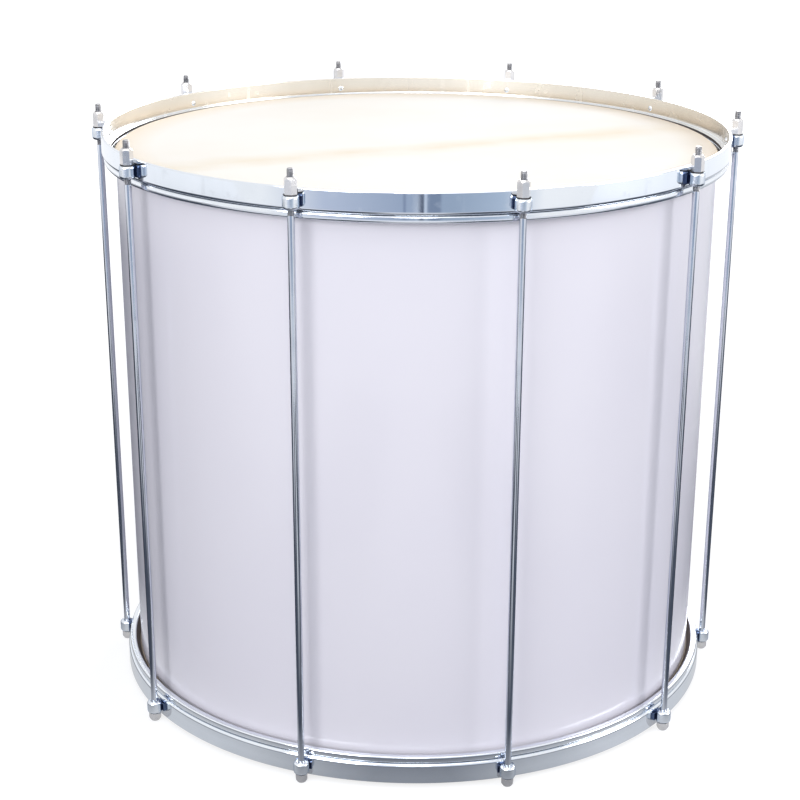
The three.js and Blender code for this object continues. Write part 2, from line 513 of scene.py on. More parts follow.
def new_group(name: str, inputs: dict[str, float]) -> tuple[NodeSheet, Sequence[Socket], Socket]:
    """Makes an empty shader node group that turns a place and some numbers into a mask.

    Args:
        name: The group's name.
        inputs: The name and default of each number that goes in.

    Returns:
        A sheet to build it on, what goes into it, and the mask that comes out of it.
    """
    group = bpy.data.node_groups.new(name, "ShaderNodeTree")
    group.interface.new_socket("Place", in_out="INPUT", socket_type="NodeSocketVector")
    for key, value in inputs.items():
        group.interface.new_socket(key, in_out="INPUT", socket_type="NodeSocketFloat").default_value = value
    group.interface.new_socket("Mask", in_out="OUTPUT", socket_type="NodeSocketFloat")
    sheet = NodeSheet(group)
    return sheet, sheet.add("NodeGroupInput").outputs, sheet.add("NodeGroupOutput").inputs["Mask"]


def handling_marks() -> Tree:
    """Fine hairline scratches that cross in two directions, as handling leaves on plate and lacquer.

    Returns:
        The group, with one mask out.
    """
    sheet, given, mask = new_group("handling_marks", {"Scale": 60.0, "Amount": 0.5})
    lines = []
    for turn, stretch in ((0.5, (1.0, 1.0, 0.04)), (2.2, (1.0, 0.05, 1.0))):
        place = sheet.turned_by(given["Place"], (turn, 0.4 * turn, 0.7 * turn), stretch)
        lines.append(sheet.spread(sheet.noise(place, given["Scale"], 2.0), 0.6, 0.7))
    sheet.feed(mask, sheet.work("MULTIPLY", sheet.work("MAXIMUM", *lines), given["Amount"]))
    return sheet.tree


def cloudiness() -> Tree:
    """Broad soft patches, from fingers and air on metal or from the thickness of a skin.

    Returns:
        The group, with one mask out.
    """
    sheet, given, mask = new_group("cloudiness", {"Scale": 8.0, "Softness": 0.2})
    inputs = {
        "Value": sheet.noise(given["Place"], given["Scale"], 4.0, 0.55),
        "From Min": sheet.work("SUBTRACT", 0.5, given["Softness"]),
        "From Max": sheet.work("ADD", 0.5, given["Softness"]),
    }
    node = sheet.add("ShaderNodeMapRange", inputs, interpolation_type="SMOOTHSTEP")
    sheet.feed(mask, node.outputs["Result"])
    return sheet.tree


@dataclass
class Bench:
    """The shared shader groups, made once and placed in each material."""

    marks: Tree = field(default_factory=handling_marks)
    clouds: Tree = field(default_factory=cloudiness)


class MaterialSheet(NodeSheet):
    """The sheet of a new material, with its Principled shader and its Object coordinates."""

    def __init__(self, name: str, bench: Bench | None = None) -> None:
        """Starts the material.

        Args:
            name: Its name.
            bench: The shared groups, where it uses them.
        """
        self.material = bpy.data.materials.new(name)
        self.material.use_nodes = True
        super().__init__(self.material.node_tree)
        self.bench = bench
        self.place = self.add("ShaderNodeTexCoord").outputs["Object"]

    def clouds(self, scale: float, softness: float) -> Socket:
        """The mask of broad soft patches."""
        inputs = {"Place": self.place, "Scale": scale, "Softness": softness}
        return self.add("ShaderNodeGroup", inputs, node_tree=self.bench.clouds).outputs["Mask"]

    def marks(self, scale: float, amount: float) -> Socket:
        """The mask of fine scratches."""
        inputs = {"Place": self.place, "Scale": scale, "Amount": amount}
        return self.add("ShaderNodeGroup", inputs, node_tree=self.bench.marks).outputs["Mask"]

    def shade(self, inputs: Inputs) -> bpy.types.Node:
        """Feeds the material's shader.

        Args:
            inputs: What goes in, by the inputs' names.

        Returns:
            The shader.
        """
        shader = self.tree.nodes["Principled BSDF"]
        for key, given in inputs.items():
            self.feed(shader.inputs[key], given)
        return shader


@dataclass(frozen=True)
class Finish:
    """A material to be made, by its name."""

    name: str

    def make(self, bench: Bench) -> Material:
        """Makes the material.

        Args:
            bench: The shared groups.

        Returns:
            The finished material.
        """
        sheet = MaterialSheet(self.name, bench)
        sheet.shade(self.wire(sheet))
        return sheet.material

    def wire(self, sheet: MaterialSheet) -> Inputs:
        """Lays out the nodes, in each kind of finish its own way."""
        raise NotImplementedError


@dataclass(frozen=True)
class Plating(Finish):
    """Bright plate over steel, polished or as it comes from the barrel."""

    tint: Steps
    clouded_tint: Steps
    roughness: float
    clouded_roughness: float
    marks: float
    cloud_scale: float = 14.0
    # Tint of the reflection at grazing angles; a tint darker than white paints dark reflections along the edges.
    edge_tint: Colour = (1.0, 1.0, 1.0)
    cloud_softness: float = 0.24
    mark_scale: float = 90.0
    mark_roughness: float = 0.12
    mark_depth: float = 0.00002

    def wire(self, sheet: MaterialSheet) -> Inputs:
        """Lays out the nodes.

        Args:
            sheet: The material's sheet.

        Returns:
            What the shader's inputs are fed.
        """
        clouds = sheet.clouds(self.cloud_scale, self.cloud_softness)
        marks = sheet.marks(self.mark_scale, self.marks)
        haze = sheet.spread(clouds, 0.0, 1.0, self.roughness, self.clouded_roughness)
        return {
            "Metallic": 1.0,
            "Specular Tint": self.edge_tint,
            "Base Color": sheet.blend(clouds, plain(self.tint), plain(self.clouded_tint)),
            "Roughness": sheet.work("ADD", haze, sheet.work("MULTIPLY", marks, self.mark_roughness)),
            "Normal": sheet.bump(marks, self.mark_depth, 0.25),
        }


@dataclass(frozen=True)
class Lacquer(Finish):
    """Gloss paint baked on rolled metal."""

    colour: Steps
    shaded_colour: Steps
    roughness: float
    coat: float
    coat_roughness: float = 0.06
    shine: float = 0.3
    mark_roughness: float = 0.12
    peel_scale: float = 420.0
    peel_depth: float = 0.00002

    def wire(self, sheet: MaterialSheet) -> Inputs:
        """Lays out the nodes.

        Args:
            sheet: The material's sheet.

        Returns:
            What the shader's inputs are fed.
        """
        clouds = sheet.clouds(3.0, 0.3)
        marks = sheet.marks(45.0, 0.35)
        return {
            "Base Color": sheet.blend(clouds, plain(self.colour), plain(self.shaded_colour)),
            "Roughness": sheet.work("ADD", self.roughness, sheet.work("MULTIPLY", marks, self.mark_roughness)),
            "Specular IOR Level": self.shine,
            "Coat Weight": self.coat,
            "Coat Roughness": self.coat_roughness,
            "Normal": sheet.bump(sheet.noise(sheet.place, self.peel_scale, 2.0), self.peel_depth, 0.3),
        }


@dataclass(frozen=True)
class Hide(Finish):
    """A scraped natural skin: cream, cloudy, with fine grain and the faint line of the backbone."""

    colour: Steps = (244, 241, 235)
    cloud_colour: Steps = (241, 236, 227)
    spine_colour: Steps = (234, 223, 203)
    edge_colour: Steps = (241, 227, 208)
    # Painted shade: the collar beyond the shell's edge is dark grey-brown for the shadow in the gap between shell
    # and flesh hoop.
    tuck_painted_shade: Steps = (92, 84, 80)
    edge_radius: float = 0.2795
    edge_width: float = 0.035
    tuck_width: float = 0.0012
    spine_degrees: float = 22.5
    spine_offset: float = -0.027
    spine_half_width: float = 0.03
    spine_wander: float = 0.012
    roughness: float = 0.68
    clouded_roughness: float = 0.8
    shine: float = 0.15
    grain_depth: float = 0.00015

    def spine(self, sheet: MaterialSheet) -> Socket:
        """Draws the backbone's line, which wanders and comes in patches.

        Args:
            sheet: The material's sheet.

        Returns:
            Its mask.
        """
        place = sheet.place
        across = sheet.axes(sheet.turned_by(place, (0, 0, -math.radians(self.spine_degrees))))["Y"]
        sway = sheet.spread(sheet.noise(place, 7.0, 3.0), 0.3, 0.7, -self.spine_wander, self.spine_wander)
        away = sheet.work("ABSOLUTE", sheet.work("ADD", sheet.work("SUBTRACT", across, self.spine_offset), sway))
        patchy = sheet.spread(sheet.noise(place, 16.0, 4.0), 0.35, 0.65, 0.35, 1.0)
        return sheet.work("MULTIPLY", sheet.spread(away, 0.0, self.spine_half_width, 1.0, 0.0), patchy)

    def grain(self, sheet: MaterialSheet) -> Socket:
        """The height of the pores and fibres."""
        pores, fibres = sheet.noise(sheet.place, 900.0, 3.0, 0.6), sheet.noise(sheet.place, 120.0, 5.0, 0.65)
        return sheet.work("ADD", sheet.work("MULTIPLY", pores, 0.5), sheet.work("MULTIPLY", fibres, 0.5))

    def wire(self, sheet: MaterialSheet) -> Inputs:
        """Lays out the nodes.

        Args:
            sheet: The material's sheet.

        Returns:
            What the shader's inputs are fed.
        """
        clouds = sheet.clouds(5.0, 0.25)
        reach = sheet.reach(sheet.place)
        colour = sheet.blend(clouds, plain(self.colour), plain(self.cloud_colour))
        for mask, tone in (
            (self.spine(sheet), self.spine_colour),
            (sheet.spread(reach, self.edge_radius - self.edge_width, self.edge_radius), self.edge_colour),
            # Painted shade on the tucked collar, in the gap.
            (sheet.spread(reach, self.edge_radius, self.edge_radius + self.tuck_width), self.tuck_painted_shade),
        ):
            colour = sheet.blend(mask, colour, plain(tone))
        return {
            "Base Color": colour,
            "Roughness": sheet.spread(clouds, 0.0, 1.0, self.roughness, self.clouded_roughness),
            "Specular IOR Level": self.shine,
            "Normal": sheet.bump(self.grain(sheet), self.grain_depth, 0.35),
        }


@dataclass(frozen=True)
class FibreAndGapShade(Finish):
    """The dull dark washer stuff under each nut, near black to paint the shadow in the gap between nut and ear."""

    colour: Steps
    worn_colour: Steps

    def wire(self, sheet: MaterialSheet) -> Inputs:
        """Lays out the nodes.

        Args:
            sheet: The material's sheet.

        Returns:
            What the shader's inputs are fed.
        """
        clouds = sheet.clouds(400.0, 0.3)
        return {
            "Base Color": sheet.blend(clouds, plain(self.colour), plain(self.worn_colour)),
            "Roughness": sheet.spread(clouds, 0.0, 1.0, 0.5, 0.7),
        }


FINISHES: dict[str, Finish] = {
    "shell": Lacquer("lavender_lacquer", (226, 224, 233), (221, 219, 230), 0.22, 0.4),
    "hoop": Plating("hoop_chrome", (236, 241, 248), (229, 235, 243), 0.045, 0.09, 0.6),
    # Painted reflection: the warm tan tint of the hoop's inner wall stands for the cream skin mirrored in it.
    "hoop_inside_painted_reflection": Plating("hoop_inner_skin_reflection", (240, 236, 229), (230, 225, 215), 0.16, 0.26, 0.6),
    "flesh_ring": Plating("flesh_ring_chrome", (238, 242, 248), (230, 235, 242), 0.07, 0.13, 0.6),
    # Painted reflection: the bluish-grey grazing tint darkens the ears' sides, for the dark blue room mirrored in
    # them.
    "ear": Plating("ear_chrome", (236, 241, 247), (226, 232, 240), 0.17, 0.25, 0.5, 60.0, (0.5, 0.57, 0.68)),
    # Painted reflection: the dark navy finish on the back of each ear stands for the dark room mirrored there.
    "ear_painted_reflection": Plating("ear_back_painted_reflection", (100, 114, 142), (84, 97, 124), 0.12, 0.2, 0.8, 90.0),
    # Painted reflection: the dark grazing tint gives the rods dark edges, standing for dark reflections along them.
    "rod": Plating("rod_chrome", (226, 230, 238), (212, 217, 227), 0.05, 0.1, 0.7, 30.0, (0.22, 0.25, 0.32)),
    "thread": Plating("oiled_thread", (186, 186, 189), (148, 149, 154), 0.24, 0.36, 1.0, 120.0),
    "nut": Plating("nut_plate", (234, 232, 232), (216, 215, 217), 0.16, 0.26, 0.8, 80.0),
    "skin": Hide("natural_skin"),
    # Painted shade: the washers' near-black colour stands for the shadow gap under each nut.
    "washer": FibreAndGapShade("washer_fibre_and_gap_shade", (28, 28, 32), (44, 43, 46)),
}

def make_materials() -> Materials:
    """Makes every finish of the drum once, on one bench."""
    bench = Bench()
    return {key: finish.make(bench) for key, finish in FINISHES.items()}


def dress(item: Piece, material: Material) -> None:
    """Gives a piece its material."""
    item.data.materials.clear()
    item.data.materials.append(material)


def dress_part(item: Piece, material: Material, test: Test) -> None:
    """Gives some faces of a dressed piece a second material.

    Args:
        item: The piece.
        material: The second material.
        test: Takes a face's middle and its normal, and says whether it changes.
    """
    item.data.materials.append(material)
    focus(item)
    item.active_material_index = len(item.data.materials) - 1
    with editing(item, Pick.FACES) as pick:
        pick(test)
        bpy.ops.object.material_slot_assign()


def stand_for(item: Piece, body: str, slot: str, *nodes: str) -> None:
    """Makes a piece ride on a body and stand for CAD nodes.

    Args:
        item: The piece.
        body: The body that it moves with.
        slot: Not used.
        *nodes: The CAD nodes that it replaces.
    """
    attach(item, body)
    if nodes:
        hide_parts(*nodes)
    LOG.info("%s rides on %s", item.name, body)


def set_copy(pattern: Piece, name: str, place: Matrix, body: str, slot: str, *nodes: str) -> None:
    """Sets a copy of a dressed pattern in its place on a body, for the CAD nodes named."""
    stand_for(copied(pattern, name, place), body, slot, *nodes)


# ---------------------------------------------------------------- the drum


@dataclass
class Shell:
    """The rolled shell, with both edges turned in over a round bend."""

    layout: Layout
    outer_radius: float = 0.2794
    wall: float = 0.001
    lip_width: float = 0.007
    bend_radius: float = 0.003

    def build(self) -> Piece:
        """Turns the wall and its two lips and bends their corners.

        Returns:
            The shell.
        """
        low, high = self.layout.lower_edge, self.layout.upper_edge
        outer, inner, lip = self.outer_radius, self.outer_radius - self.wall, self.outer_radius - self.lip_width
        section = [(lip, low), (outer, low), (outer, high), (lip, high), (lip, high - self.wall)]
        section += [(inner, high - self.wall), (inner, low + self.wall), (lip, low + self.wall)]
        item = turned("painted_shell", section, Level.LARGE)
        for height, inside in ((low, low + self.wall), (high, high - self.wall)):
            round_ring(item, outer, height, self.bend_radius, 7)
            round_ring(item, inner, inside, self.bend_radius - self.wall, 5)
        smooth(item)
        return item

    def assemble(self, materials: Materials) -> None:
        """Builds and dresses the shell.

        Args:
            materials: The drum's materials.
        """
        item = self.build()
        dress(item, materials["shell"])
        stand_for(item, "shell_set", "shell", "shell")


@dataclass
class Head:
    """A skin: its playing face and the collar that its flesh hoop grips."""

    layout: Layout
    thickness: float = 0.0008
    face_height: float = 0.0011
    face_radii: tuple[float, ...] = (0.0, 0.03, 0.08, 0.13, 0.18, 0.22, 0.25, 0.268)
    bend_centre: float = 0.2764
    bend_depth: float = 0.003
    bend_radius: float = 0.0041
    bend_degrees: tuple[float, ...] = (80, 70, 60, 50, 45)
    grip_radius: float = 0.28545
    slope_steps: int = 4
    blend_top: float = 0.0006
    blend_bottom: float = 0.0055

    def section(self) -> list[Station]:
        """The outer face of the skin, from its middle out to its gripped edge.

        Returns:
            Points with the edge of the shell at zero.
        """
        points = [(radius, self.face_height) for radius in (*self.face_radii, self.bend_centre)]
        for degrees in self.bend_degrees:
            across, up = math.cos(math.radians(degrees)), math.sin(math.radians(degrees))
            points.append((self.bend_centre + self.bend_radius * across, self.bend_radius * up - self.bend_depth))
        radius, height = points[-1]
        for step in range(1, self.slope_steps + 1):
            run = (self.grip_radius - radius) * step / self.slope_steps
            points.append((radius + run, height - run))
        return points

    def blank_radius(self) -> float:
        """The radius of the flat skin before it is stretched over the edge."""
        points = self.section()
        return sum(math.dist(one, other) for one, other in zip(points, points[1:]))

    def build(self) -> Piece:
        """Turns the skin's outer face and gives it its thickness.

        Returns:
            The skin of the batter end, with the edge of the shell at zero.
        """
        item = turned("skin_pattern", self.section(), Level.LARGE, closed=False)
        apply_modifier(item, "SOLIDIFY", thickness=self.thickness, offset=-1.0, use_even_offset=True)
        smooth(item, 50.0)
        return item

    def assemble(self, materials: Materials) -> None:
        """Builds both skins and sets one at each end of the shell.

        Args:
            materials: The drum's materials.
        """
        pattern = self.build()
        dress(pattern, materials["skin"])
        width = 2 * self.blank_radius()
        for end in End:
            place = self.layout.end_place(end)
            item = copied(pattern, f"{end.value}_skin", place)
            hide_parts(f"{end.value}_head")
            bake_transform(item)
            LOG.info("%s stretches from shell_set to %s", item.name, end.hoop_body)
        remove(pattern)


@dataclass
class EndHoop:
    """What both kinds of hoop share: one is made and a copy is set at each end of the drum."""

    layout: Layout

    def set_at_ends(self, pattern: Piece, piece: str, node: str) -> None:
        """Sets the hoop at both ends.

        Args:
            pattern: The dressed hoop of the batter end.
            piece: What its copies are called, after the name of their end.
            node: The CAD node that they stand for, after the name of their end.
        """
        for end in End:
            place = self.layout.end_place(end)
            set_copy(pattern, f"{end.value}_{piece}", place, end.hoop_body, node, f"{end.value}_{node}")
        remove(pattern)


@dataclass
class FleshHoop(EndHoop):
    """The steel ring that grips the edge of a skin in a groove, with a slightly flattened section."""

    centre_radius: float = 0.2872
    section_radius: float = 0.0032
    depth: float = 0.006
    section_flats: int = 32
    squareness: float = 3.6
    groove_mouth: Station = (0.2832, -0.004)
    groove_floor: Station = (0.2859, -0.0067)
    groove_outside: float = 0.0002
    groove_inside: float = 0.001

    def section(self) -> list[Station]:
        """A circle drawn out a little towards a square.

        Returns:
            The ring's section, with the edge of the shell at zero.
        """
        points = []
        for index in range(self.section_flats):
            turn = FULL_TURN * index / self.section_flats
            ways = (math.cos(turn), math.sin(turn))
            across, up = (math.copysign(abs(way) ** (2 / self.squareness), way) for way in ways)
            points.append((self.centre_radius + self.section_radius * across, self.section_radius * up - self.depth))
        return points

    def groove(self) -> Piece:
        """A tool as wide as the skin and a little more, sloping as the skin does.

        Returns:
            The ring-shaped tool that cuts the groove.
        """
        step = math.sqrt(0.5)
        corners = [
            (radius + side * step, height + side * step)
            for (radius, height), side in (
                (self.groove_mouth, -self.groove_inside),
                (self.groove_mouth, self.groove_outside),
                (self.groove_floor, self.groove_outside),
                (self.groove_floor, -self.groove_inside),
            )
        ]
        return turned("groove_tool", corners, Level.LARGE)

    def assemble(self, materials: Materials) -> None:
        """Turns the ring, cuts the groove for the skin, and sets one at each end.

        Args:
            materials: The drum's materials.
        """
        item = turned("ring_pattern", self.section(), Level.LARGE)
        cut_with(item, self.groove())
        smooth(item, 40.0)
        dress(item, materials["flesh_ring"])
        self.set_at_ends(item, "flesh_ring", "flesh_hoop")


@dataclass
class Counterhoop(EndHoop):
    """The bent steel hoop that presses on a flesh hoop: an upright wall and a flange."""

    flange_inner: float = 0.2842
    flange: float = 0.003
    drop: float = 0.0025
    rise: float = 0.0165
    bend_radius: float = 0.003
    rim_outside: float = 0.0011
    rim_inside: float = 0.0009
    corner_inside: float = 0.0008
    flange_edge: float = 0.0004
    reflection_tint_above: float = 0.0004
    reflection_tint_within: float = 0.0006

    def build(self) -> Piece:
        """Turns the hoop's section and rounds its corners.

        Returns:
            The hoop of the batter end, with the edge of the shell at zero.
        """
        outer, lip = self.layout.hoop_radius, self.flange_inner
        inner = outer - self.layout.hoop_wall
        low, floor, high = -self.drop, -self.drop + self.flange, self.rise
        section = [(lip, low), (outer, low), (outer, high), (inner, high), (inner, floor), (lip, floor)]
        item = turned("hoop_pattern", section, Level.LARGE)
        round_ring(item, outer, low, self.bend_radius, 8)
        round_ring(item, outer, high, self.rim_outside, 5)
        round_ring(item, inner, high, self.rim_inside, 4)
        round_ring(item, inner, floor, self.corner_inside, 4)
        round_ring(item, lip, low, self.flange_edge, 3)
        round_ring(item, lip, floor, self.flange_edge, 3)
        smooth(item)
        return item

    def is_inside(self, place: Vector, way: Vector) -> bool:
        """Whether a face belongs to the inside of the upright wall.

        Args:
            place: The face's middle.
            way: Its normal.

        Returns:
            True for the faces above the flange that look at the drum's axis.
        """
        above = place.z > self.flange - self.drop + self.reflection_tint_above
        within = place.xy.length < self.layout.hoop_radius - self.layout.hoop_wall + self.reflection_tint_within
        return above and within and way.xy.dot(place.xy) < -0.3 * place.xy.length

    def assemble(self, materials: Materials) -> None:
        """Builds and dresses the hoop and sets one at each end.

        Args:
            materials: The drum's materials.
        """
        item = self.build()
        dress(item, materials["hoop"])
        # Painted reflection: the inside of the upright wall gets a warm tint for the skin mirrored in it.
        dress_part(item, materials["hoop_inside_painted_reflection"], self.is_inside)
        self.set_at_ends(item, "rim_hoop", "counterhoop")


@dataclass
class Ears:
    """The ears on the hoops, each a round boss on a web and a foot, with its rivet."""

    layout: Layout
    radius: float = 0.007
    height: float = 0.012
    rounding: float = 0.0028
    bore: float = 0.0033
    web_top: float = -0.0022
    web_width: float = 0.009
    web_rounding: float = 0.001
    foot_width: float = 0.015
    foot_thickness: float = 0.0012
    foot_overlap: float = 0.001
    cutter_depth: float = 0.06
    painted_reflection_share: float = 0.35
    rivet_radius: float = 0.0026
    rivet_rise: float = 0.0011

    @property
    def hoop_face(self) -> float:
        """Where the hoop's outer face lies, seen from the rod's axis."""
        return self.layout.hoop_radius - self.layout.rod_circle

    def build_ear(self) -> Piece:
        """Joins the boss, web and foot, fits them to the hoop and bores the hole.

        Returns:
            An ear with the rod's axis and its own outer end at zero.
        """
        section = [(0.0, 0.0), (self.radius, 0.0), (self.radius, -self.height), (0.0, -self.height)]
        item = turned("ear_pattern", section, Level.SMALL, closed=False)
        round_ring(item, self.radius, -self.height, self.rounding, 7)
        round_ring(item, self.radius, 0.0, self.rounding, 7)
        cut_with(item, self.build_web(), "UNION")
        for level, radius, middle in (
            (Level.LARGE, self.layout.hoop_radius, -self.layout.rod_circle),
            (Level.SMALL, self.bore, 0.0),
        ):
            cut_with(item, cylinder("bore_tool", level.value, radius, self.cutter_depth, (middle, 0, 0)))
        break_edges(item, 0.00025, 40.0)
        return item

    def build_web(self) -> Piece:
        """Extrudes the web out of the foot plate.

        Returns:
            The foot and the web, up to the rod's axis.
        """
        front, bottom = self.hoop_face + self.foot_thickness, self.rounding - self.height
        depth = self.foot_thickness + self.foot_overlap
        size = (depth, self.foot_width, self.web_top - bottom)
        middle = (front - depth / 2, 0, (self.web_top + bottom) / 2)
        item = primitive(bpy.ops.mesh.primitive_cube_add, "web_tool", size=1.0, location=middle, scale=size)
        settle(item)

        def on_web(face: Vector, normal: Vector) -> bool:
            """Whether a face is the middle one of the foot's front."""
            return normal.x > 0.9 and abs(face.y) < self.web_width / 4 and abs(face.x - front) < 1e-4

        def at_root(one: Vector, other: Vector) -> bool:
            """Whether an edge lies upright where the web meets the foot."""
            upright = abs(one.y - other.y) < SAME and abs(abs(one.y) - self.web_width / 2) < 1e-5
            return upright and all(abs(end.x - front) < 1e-5 for end in (one, other))

        with editing(item, Pick.FACES) as pick:
            for side in (-1, 1):
                take_all()
                bpy.ops.mesh.bisect(plane_co=(0, side * self.web_width / 2, 0), plane_no=(0, 1, 0))
            pick(on_web)
            bpy.ops.mesh.extrude_region_move(TRANSFORM_OT_translate={"value": (-front, 0, 0)})
        with editing(item) as pick:
            pick(at_root)
            bpy.ops.mesh.bevel(offset=self.web_rounding, segments=4, affect="EDGES")
        return item

    def build_rivet(self) -> Piece:
        """Presses a low dome out of a ball, for the head of a rivet.

        Returns:
            The rivet's head, pointing along -X, with its seat at zero.
        """
        size = {"segments": 20, "ring_count": 10, "radius": self.rivet_radius, "rotation": (0, -math.pi / 2, 0)}
        item = primitive(bpy.ops.mesh.primitive_uv_sphere_add, "rivet_pattern", **size)
        settle(item)
        flat = (self.rivet_rise / self.rivet_radius, 1, 1)
        with editing(item, Pick.FACES):
            take_all()
            bpy.ops.mesh.bisect(plane_co=(0, 0, 0), plane_no=(1, 0, 0), clear_outer=True, use_fill=True)
            take_all()
            bpy.ops.transform.resize(value=flat, center_override=(0, 0, 0))
        smooth(item, 40.0)
        return item

    def assemble(self, materials: Materials) -> None:
        """Builds an ear and a rivet and sets a copy at each station of both hoops.

        Args:
            materials: The drum's materials.
        """
        ear, rivet = self.build_ear(), self.build_rivet()
        dress(ear, materials["ear"])
        # Painted reflection: the back of each ear, towards the hoop, is dressed dark navy for the dark reflection
        # and shade there.
        dress_part(ear, materials["ear_painted_reflection"], lambda place, way: place.x < -self.radius * self.painted_reflection_share)
        dress(rivet, materials["hoop"])
        inward = Matrix.Translation((self.hoop_face - self.layout.hoop_wall, 0, -self.height / 2))
        for end in End:
            for number, station in self.layout.stations():
                place = station @ self.layout.ear_place(end)
                node = f"{end.value}_ear_{number}"
                set_copy(ear, f"{end.value}_lug_{number}", place, end.hoop_body, "ear", node)
                set_copy(rivet, f"{end.value}_rivet_{number}", place @ inward, end.hoop_body, "counterhoop")
        remove(ear, rivet)


@dataclass
class Rods:
    """The ten long rods, plain in the middle and threaded at their tops."""

    layout: Layout
    bottom: float = 0.0025
    top: float = 0.5538
    radius: float = 0.003
    root_radius: float = 0.00248
    shank_radius: float = 0.00295
    pitch: float = 0.001
    top_thread: float = 0.038
    chamfer: float = 0.0006
    run_out: float = 0.0006
    core_play: float = 0.00002
    tip_length: float = 0.0012
    tip_radii: tuple[float, float] = (0.00268, 0.00208)

    @property
    def thread_start(self) -> float:
        """The height at which the thread starts."""
        return self.top - self.top_thread

    def build_thread(self) -> Piece:
        """Winds one ridge of the thread up the rod.

        Returns:
            The ridge, open at its root.
        """
        root, crest = self.root_radius, self.radius
        shares = ((root, 0.0), (crest, 0.42), (crest, 0.55), (root, 0.97), (root, 1.0))
        ridge = [(radius, self.thread_start + share * self.pitch) for radius, share in shares]
        item = section_line("thread_pattern", ridge)
        apply_modifier(
            item,
            "SCREW",
            axis="Z",
            angle=FULL_TURN,
            screw_offset=self.pitch,
            iterations=int((self.top_thread - self.chamfer) / self.pitch) - 1,
            steps=Level.THREAD.value,
            render_steps=Level.THREAD.value,
            use_merge_vertices=True,
            merge_threshold=SAME,
        )
        return item

    def build(self) -> Piece:
        """Turns the shank with its chamfered tip and joins the thread to it.

        Returns:
            A rod on its own axis.
        """
        shank, core, low, top = self.shank_radius, self.root_radius + self.core_play, self.bottom, self.top
        section = [(0.0, low), (shank, low), (shank, self.thread_start), (core, self.thread_start + self.run_out)]
        section += [(core, top - self.tip_length), (self.tip_radii[0], top - self.chamfer)]
        section += [(self.tip_radii[1], top), (0.0, top)]
        item = turned("rod_pattern", section, Level.THREAD, closed=False)
        focus(item, self.build_thread())
        bpy.ops.object.join()
        smooth(item, 40.0)
        return item

    def assemble(self, materials: Materials) -> None:
        """Builds a rod and sets a copy at each station.

        Args:
            materials: The drum's materials.
        """
        pattern = self.build()
        dress(pattern, materials["rod"])
        dress_part(pattern, materials["thread"], lambda place, way: place.z > self.thread_start)
        for number, station in self.layout.stations():
            set_copy(pattern, f"threaded_rod_{number}", station, "lower_set", "rod", f"rod_{number}")
        remove(pattern)


@dataclass
class Nuts:
    """The sleeve nuts on top, their washers, and the closed nuts that are the drum's feet."""

    layout: Layout
    across_flats: float = 0.01
    bore: float = 0.00325
    sleeve_height: float = 0.014
    crown_height: float = 0.0026
    crown_radius: float = 0.0039
    blank_radius: float = 0.0061
    seat_break: Station = (0.0007, 0.0005)
    crown_neck: Station = (0.0009, 0.0011)
    foot_height: float = 0.0081
    foot_face: tuple[Station, ...] = ((0.0034, 0.0), (0.0039, 0.0004))
    foot_taper: tuple[Station, ...] = ((0.0056, 0.0029), (0.0061, 0.004))
    foot_top_break: Station = (0.0006, 0.0004)
    washer_radius: float = 0.0062
    washer_play: float = 0.00002
    washer_rounding: float = 0.0001

    def trim(self, item: Piece, height: float) -> None:
        """Trims a turned blank with a hexagonal bar, flat towards the hoop, and breaks its edges.

        Args:
            item: The blank, standing at zero.
            height: How high it is.
        """
        corner, spare = self.across_flats / 2 / math.cos(math.pi / 6), 0.001
        bar = cylinder("hex_tool", 6, corner, height + 2 * spare, (0, 0, height / 2))
        cut_with(item, bar, "INTERSECT")
        break_edges(item, 0.00022, 32.0)

    def build_sleeve(self) -> Piece:
        """Turns the blank of a sleeve nut and cuts its six flats.

        Returns:
            A sleeve nut standing at zero.
        """
        top, shoulder = self.sleeve_height, self.sleeve_height - self.crown_height
        blank, (seat_in, seat_up), (neck_in, neck_up) = self.blank_radius, self.seat_break, self.crown_neck
        section = [(self.bore, 0.0), (blank - seat_in, 0.0), (blank, seat_up), (blank, shoulder)]
        section += [(blank - neck_in, shoulder + neck_up), (self.crown_radius, top), (self.bore, top)]
        item = turned("sleeve_pattern", section, Level.SMALL)
        self.trim(item, top)
        return item

    def build_foot(self) -> Piece:
        """Turns the blank of a closed nut with its tapered end and cuts its flats.

        Returns:
            A closed nut standing on the floor at zero.
        """
        blank, top, (top_in, top_down) = self.blank_radius, self.foot_height, self.foot_top_break
        section = [(0.0, 0.0), *self.foot_face, *self.foot_taper, (blank, top - top_down), (blank - top_in, top)]
        section.append((0.0, top))
        item = turned("foot_pattern", section, Level.SMALL, closed=False)
        self.trim(item, self.foot_height)
        return item

    def build_washer(self) -> Piece:
        """Turns the thin washer between an ear and its nut.

        Returns:
            A washer lying at zero.
        """
        thick, outside = self.layout.seat_gap - 2 * self.washer_play, self.washer_radius
        section = [(self.bore, 0.0), (outside, 0.0), (outside, thick), (self.bore, thick)]
        item = turned("washer_pattern", section, Level.SMALL)
        round_ring(item, outside, thick, self.washer_rounding, 2)
        smooth(item, 40.0)
        return item

    def assemble(self, materials: Materials) -> None:
        """Builds each kind of nut and the washer and sets copies at each station.

        Args:
            materials: The drum's materials.
        """
        sleeve, foot, washer = self.build_sleeve(), self.build_foot(), self.build_washer()
        dress(sleeve, materials["nut"])
        dress(foot, materials["nut"])
        # Painted shade: the thin washers are near black for the shadow between each nut and its ear.
        dress(washer, materials["washer"])
        seat = self.layout.nut_seat
        for number, station in self.layout.stations():
            raised = station @ lifted(seat + self.layout.seat_gap)
            set_copy(sleeve, f"sleeve_nut_{number}", raised, f"tuning_nut_{number}", "nut", f"nut_{number}")
            set_copy(foot, f"closed_nut_{number}", station, "lower_set", "nut", f"foot_nut_{number}")
            raised = station @ lifted(seat + self.washer_play)
            set_copy(washer, f"washer_{number}", raised, "batter_hoop", "nut")
        remove(sleeve, foot, washer)


